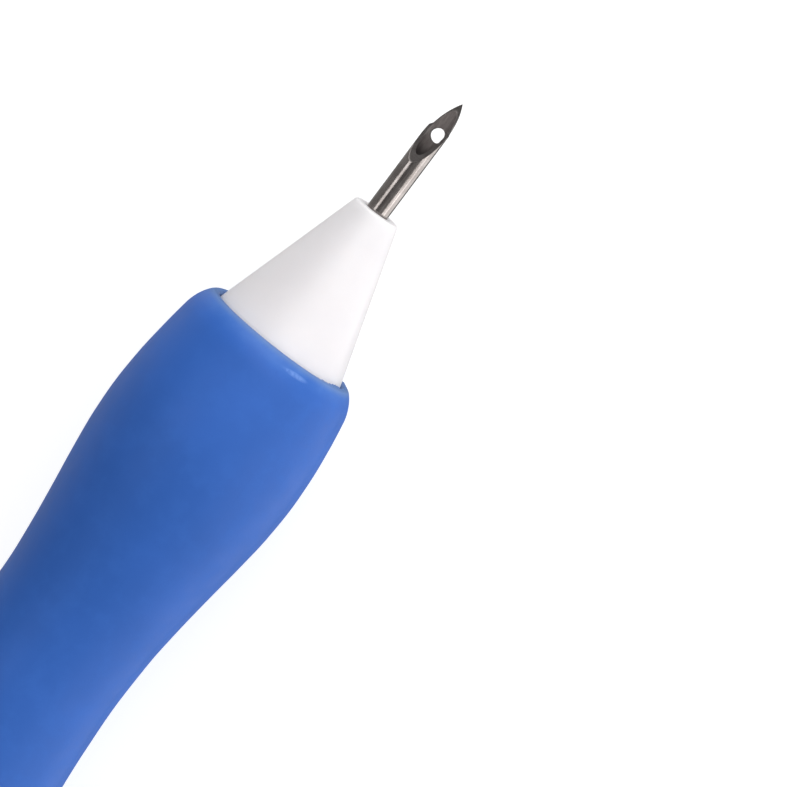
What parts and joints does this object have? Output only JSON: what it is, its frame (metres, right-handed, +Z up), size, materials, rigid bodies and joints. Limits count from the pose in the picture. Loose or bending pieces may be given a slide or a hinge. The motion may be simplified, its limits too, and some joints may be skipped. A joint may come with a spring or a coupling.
{
  "type": "adjustable punch needle tool",
  "caption": "Hand punch needle with a soft blue hourglass grip, white nose cone, hollow bevelled needle and a click dial that sets the needle depth.",
  "frame": {"origin": "centre of the tool's bounding box in plan, at the surface it lies on", "axes": "+X along the tool towards the needle point, +Z up out of the surface; the needle's bevel and the dial's pointer face +Z"},
  "size_m": [0.1412, 0.0218, 0.0198],
  "materials": {
    "white_plastic": "glossy white moulded ABS",
    "natural_plastic": "natural acetal, slightly translucent look, satin",
    "blue_grip": "satin blue soft-touch elastomer",
    "needle_steel": "drawn and ground stainless steel",
    "spring_steel": "bright spring steel",
    "black_rubber": "matt black nitrile",
    "plated_metal": "polished nickel plate"
  },
  "bodies": {
    "barrel": {"front_barrel": "white_plastic", "grip_sleeve": "blue_grip", "rear_barrel": "white_plastic", "end_cap": "white_plastic", "click_spring": "spring_steel", "return_spring": "spring_steel"},
    "nose": {"nose_cone": "white_plastic", "nose_o_ring": "black_rubber"},
    "dial": {"depth_dial": "white_plastic"},
    "carrier": {"needle_carrier": "natural_plastic", "slide_block": "natural_plastic", "follower_pin": "spring_steel", "thread_eyelet": "plated_metal"},
    "needle": {"needle_tube": "needle_steel", "needle_hub": "white_plastic"}
  },
  "joints": [
    {"name": "nose_pull_off", "type": "slide", "parent": "barrel", "child": "nose", "axis": [1, 0, 0], "range_m": [0, 0.04]},
    {"name": "dial_turn", "type": "hinge", "parent": "barrel", "child": "dial", "pos_m": [0, 0, 0.0099], "axis": [1, 0, 0], "range_deg": [-240, 90], "deforming": ["click_spring"]},
    {"name": "carrier_slide", "type": "slide", "parent": "barrel", "child": "carrier", "axis": [1, 0, 0], "range_m": [-0.008, 0.003], "deforming": ["return_spring"]},
    {"name": "needle_twist", "type": "hinge", "parent": "carrier", "child": "needle", "pos_m": [0, 0, 0.0099], "axis": [1, 0, 0], "range_deg": [0, 60]}
  ],
  "couplings": [
    {"joint": "dial_turn", "follows": "carrier_slide", "rad_per_m": 523.59}
  ]
}
